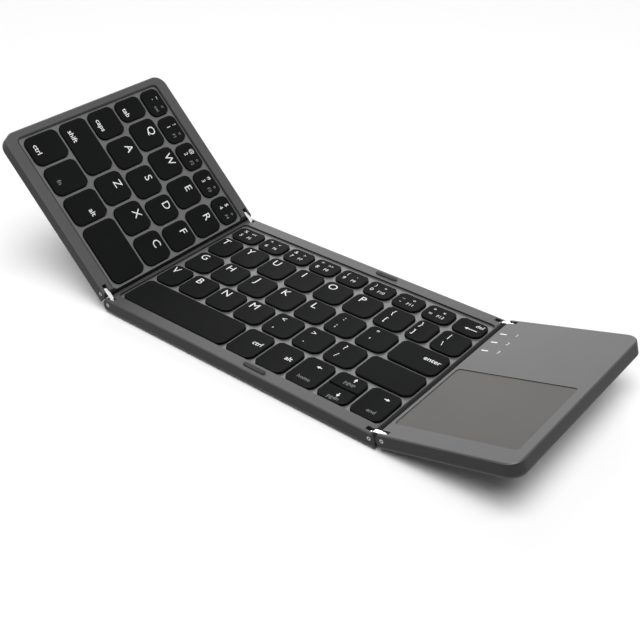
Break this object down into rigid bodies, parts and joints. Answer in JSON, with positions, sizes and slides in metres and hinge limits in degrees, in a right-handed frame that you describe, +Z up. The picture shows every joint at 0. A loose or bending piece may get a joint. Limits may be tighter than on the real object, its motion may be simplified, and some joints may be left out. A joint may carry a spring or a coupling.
{
  "type": "folding keyboard",
  "caption": "Pocket keyboard of three thin panels that fold on two-pivot links, with keys on the left and middle panels and a touchpad on the right wing.",
  "frame": {"origin": "bottom centre of the bounding box at rest, on the table under the middle panel", "axes": "+X along the keyboard from the left wing to the right wing, +Y from front edge to back edge, +Z up"},
  "size_m": [0.272, 0.098, 0.0698],
  "materials": {
    "key_plastic": "satin black keys",
    "chrome_link": "polished chrome",
    "steel_pin": "bright steel",
    "steel_dark": "blackened steel",
    "cover_plastic": "matt dark grey",
    "frame_grey": "fine blasted space grey",
    "rubber": "matt black rubber",
    "rubber_sheet": "black silicone",
    "plate_steel": "plain steel",
    "board_green": "green solder mask",
    "battery_foil": "silver foil",
    "port_steel": "plated steel",
    "touch_surface": "fine matt warm grey",
    "clear_window": "milky white",
    "spine_plastic": "matt black"
  },
  "bodies": {
    "middle": {"middle_cover": "cover_plastic", "middle_frame": "frame_grey", "middle_key_plate": "plate_steel", "middle_dome_sheet": "rubber_sheet", "battery": "battery_foil", "main_board": "board_green", "charge_port": "port_steel", "fold_pads": "rubber", "middle_feet": "rubber", "middle_screws": "steel_dark", "middle_hinge_pins": "steel_pin"},
    "left_links": {"left_front_link": "chrome_link", "left_rear_link": "chrome_link", "left_fold_spine": "spine_plastic"},
    "left_wing": {"left_cover": "cover_plastic", "left_frame": "frame_grey", "left_key_plate": "plate_steel", "left_dome_sheet": "rubber_sheet", "left_feet": "rubber", "left_screws": "steel_dark", "left_hinge_pins": "steel_pin"},
    "right_links": {"right_front_link": "chrome_link", "right_rear_link": "chrome_link", "right_fold_spine": "spine_plastic"},
    "right_wing": {"right_cover": "cover_plastic", "right_frame": "frame_grey", "touchpad": "touch_surface", "touchpad_board": "board_green", "indicator_windows": "clear_window", "right_feet": "rubber", "right_screws": "steel_dark", "right_hinge_pins": "steel_pin"},
    "escape_key": {"escape_key": "key_plastic"},
    "tab_key": {"tab_key": "key_plastic"},
    "caps_key": {"caps_key": "key_plastic"},
    "left_shift_key": {"left_shift_key": "key_plastic"},
    "left_control_key": {"left_control_key": "key_plastic"},
    "function_key": {"function_key": "key_plastic"},
    "left_alt_key": {"left_alt_key": "key_plastic"},
    "left_space_key": {"left_space_key": "key_plastic"},
    "number_keys_left": {"number_keys_left": "key_plastic"},
    "upper_keys_left": {"upper_keys_left": "key_plastic"},
    "home_keys_left": {"home_keys_left": "key_plastic"},
    "lower_keys_left": {"lower_keys_left": "key_plastic"},
    "number_keys_middle": {"number_keys_middle": "key_plastic"},
    "delete_key": {"delete_key": "key_plastic"},
    "upper_keys_middle": {"upper_keys_middle": "key_plastic"},
    "backslash_key": {"backslash_key": "key_plastic"},
    "home_keys_middle": {"home_keys_middle": "key_plastic"},
    "enter_key": {"enter_key": "key_plastic"},
    "lower_keys_middle": {"lower_keys_middle": "key_plastic"},
    "right_shift_key": {"right_shift_key": "key_plastic"},
    "right_space_key": {"right_space_key": "key_plastic"},
    "right_control_key": {"right_control_key": "key_plastic"},
    "right_alt_key": {"right_alt_key": "key_plastic"},
    "arrow_left_key": {"arrow_left_key": "key_plastic"},
    "arrow_up_key": {"arrow_up_key": "key_plastic"},
    "arrow_down_key": {"arrow_down_key": "key_plastic"},
    "arrow_right_key": {"arrow_right_key": "key_plastic"}
  },
  "joints": [
    {"name": "left_link_turn", "type": "hinge", "parent": "middle", "child": "left_links", "pos_m": [-0.07135, 0, 0.0046], "axis": [0, 1, 0], "range_deg": [-45.6, 44.4]},
    {"name": "left_wing_turn", "type": "hinge", "parent": "left_links", "child": "left_wing", "pos_m": [-0.07555, 0, 0.00889], "axis": [0, 1, 0], "range_deg": [0, 90]},
    {"name": "right_link_turn", "type": "hinge", "parent": "middle", "child": "right_links", "pos_m": [0.07405, 0, 0.0046], "axis": [0, -1, 0], "range_deg": [-16, 74]},
    {"name": "right_wing_turn", "type": "hinge", "parent": "right_links", "child": "right_wing", "pos_m": [0.07981, 0, 0.00625], "axis": [0, -1, 0], "range_deg": [0, 90]},
    {"name": "escape_key_press", "type": "slide", "parent": "left_wing", "child": "escape_key", "axis": [-0.7145, 0, -0.6997], "range_m": [0, 0.0013], "stiffness_N_per_m": 250, "springref_m": -0.0008},
    {"name": "tab_key_press", "type": "slide", "parent": "left_wing", "child": "tab_key", "axis": [-0.7145, 0, -0.6997], "range_m": [0, 0.0013], "stiffness_N_per_m": 250, "springref_m": -0.0008},
    {"name": "caps_key_press", "type": "slide", "parent": "left_wing", "child": "caps_key", "axis": [-0.7145, 0, -0.6997], "range_m": [0, 0.0013], "stiffness_N_per_m": 250, "springref_m": -0.0008},
    {"name": "left_shift_key_press", "type": "slide", "parent": "left_wing", "child": "left_shift_key", "axis": [-0.7145, 0, -0.6997], "range_m": [0, 0.0013], "stiffness_N_per_m": 250, "springref_m": -0.0008},
    {"name": "left_control_key_press", "type": "slide", "parent": "left_wing", "child": "left_control_key", "axis": [-0.7145, 0, -0.6997], "range_m": [0, 0.0013], "stiffness_N_per_m": 250, "springref_m": -0.0008},
    {"name": "function_key_press", "type": "slide", "parent": "left_wing", "child": "function_key", "axis": [-0.7145, 0, -0.6997], "range_m": [0, 0.0013], "stiffness_N_per_m": 250, "springref_m": -0.0008},
    {"name": "left_alt_key_press", "type": "slide", "parent": "left_wing", "child": "left_alt_key", "axis": [-0.7145, 0, -0.6997], "range_m": [0, 0.0013], "stiffness_N_per_m": 250, "springref_m": -0.0008},
    {"name": "left_space_key_press", "type": "slide", "parent": "left_wing", "child": "left_space_key", "axis": [-0.7145, 0, -0.6997], "range_m": [0, 0.0013], "stiffness_N_per_m": 250, "springref_m": -0.0008},
    {"name": "number_keys_left_press", "type": "slide", "parent": "left_wing", "child": "number_keys_left", "axis": [-0.7145, 0, -0.6997], "range_m": [0, 0.0013], "stiffness_N_per_m": 1000, "springref_m": -0.0008},
    {"name": "upper_keys_left_press", "type": "slide", "parent": "left_wing", "child": "upper_keys_left", "axis": [-0.7145, 0, -0.6997], "range_m": [0, 0.0013], "stiffness_N_per_m": 1000, "springref_m": -0.0008},
    {"name": "home_keys_left_press", "type": "slide", "parent": "left_wing", "child": "home_keys_left", "axis": [-0.7145, 0, -0.6997], "range_m": [0, 0.0013], "stiffness_N_per_m": 1000, "springref_m": -0.0008},
    {"name": "lower_keys_left_press", "type": "slide", "parent": "left_wing", "child": "lower_keys_left", "axis": [-0.7145, 0, -0.6997], "range_m": [0, 0.0013], "stiffness_N_per_m": 750, "springref_m": -0.0008},
    {"name": "number_keys_middle_press", "type": "slide", "parent": "middle", "child": "number_keys_middle", "axis": [0, 0, -1], "range_m": [0, 0.0013], "stiffness_N_per_m": 2000, "springref_m": -0.0008},
    {"name": "delete_key_press", "type": "slide", "parent": "middle", "child": "delete_key", "axis": [0, 0, -1], "range_m": [0, 0.0013], "stiffness_N_per_m": 250, "springref_m": -0.0008},
    {"name": "upper_keys_middle_press", "type": "slide", "parent": "middle", "child": "upper_keys_middle", "axis": [0, 0, -1], "range_m": [0, 0.0013], "stiffness_N_per_m": 2000, "springref_m": -0.0008},
    {"name": "backslash_key_press", "type": "slide", "parent": "middle", "child": "backslash_key", "axis": [0, 0, -1], "range_m": [0, 0.0013], "stiffness_N_per_m": 250, "springref_m": -0.0008},
    {"name": "home_keys_middle_press", "type": "slide", "parent": "middle", "child": "home_keys_middle", "axis": [0, 0, -1], "range_m": [0, 0.0013], "stiffness_N_per_m": 1750, "springref_m": -0.0008},
    {"name": "enter_key_press", "type": "slide", "parent": "middle", "child": "enter_key", "axis": [0, 0, -1], "range_m": [0, 0.0013], "stiffness_N_per_m": 250, "springref_m": -0.0008},
    {"name": "lower_keys_middle_press", "type": "slide", "parent": "middle", "child": "lower_keys_middle", "axis": [0, 0, -1], "range_m": [0, 0.0013], "stiffness_N_per_m": 1750, "springref_m": -0.0008},
    {"name": "right_shift_key_press", "type": "slide", "parent": "middle", "child": "right_shift_key", "axis": [0, 0, -1], "range_m": [0, 0.0013], "stiffness_N_per_m": 250, "springref_m": -0.0008},
    {"name": "right_space_key_press", "type": "slide", "parent": "middle", "child": "right_space_key", "axis": [0, 0, -1], "range_m": [0, 0.0013], "stiffness_N_per_m": 250, "springref_m": -0.0008},
    {"name": "right_control_key_press", "type": "slide", "parent": "middle", "child": "right_control_key", "axis": [0, 0, -1], "range_m": [0, 0.0013], "stiffness_N_per_m": 250, "springref_m": -0.0008},
    {"name": "right_alt_key_press", "type": "slide", "parent": "middle", "child": "right_alt_key", "axis": [0, 0, -1], "range_m": [0, 0.0013], "stiffness_N_per_m": 250, "springref_m": -0.0008},
    {"name": "arrow_left_key_press", "type": "slide", "parent": "middle", "child": "arrow_left_key", "axis": [0, 0, -1], "range_m": [0, 0.0013], "stiffness_N_per_m": 250, "springref_m": -0.0008},
    {"name": "arrow_up_key_press", "type": "slide", "parent": "middle", "child": "arrow_up_key", "axis": [0, 0, -1], "range_m": [0, 0.0013], "stiffness_N_per_m": 250, "springref_m": -0.0008},
    {"name": "arrow_down_key_press", "type": "slide", "parent": "middle", "child": "arrow_down_key", "axis": [0, 0, -1], "range_m": [0, 0.0013], "stiffness_N_per_m": 250, "springref_m": -0.0008},
    {"name": "arrow_right_key_press", "type": "slide", "parent": "middle", "child": "arrow_right_key", "axis": [0, 0, -1], "range_m": [0, 0.0013], "stiffness_N_per_m": 250, "springref_m": -0.0008}
  ]
}
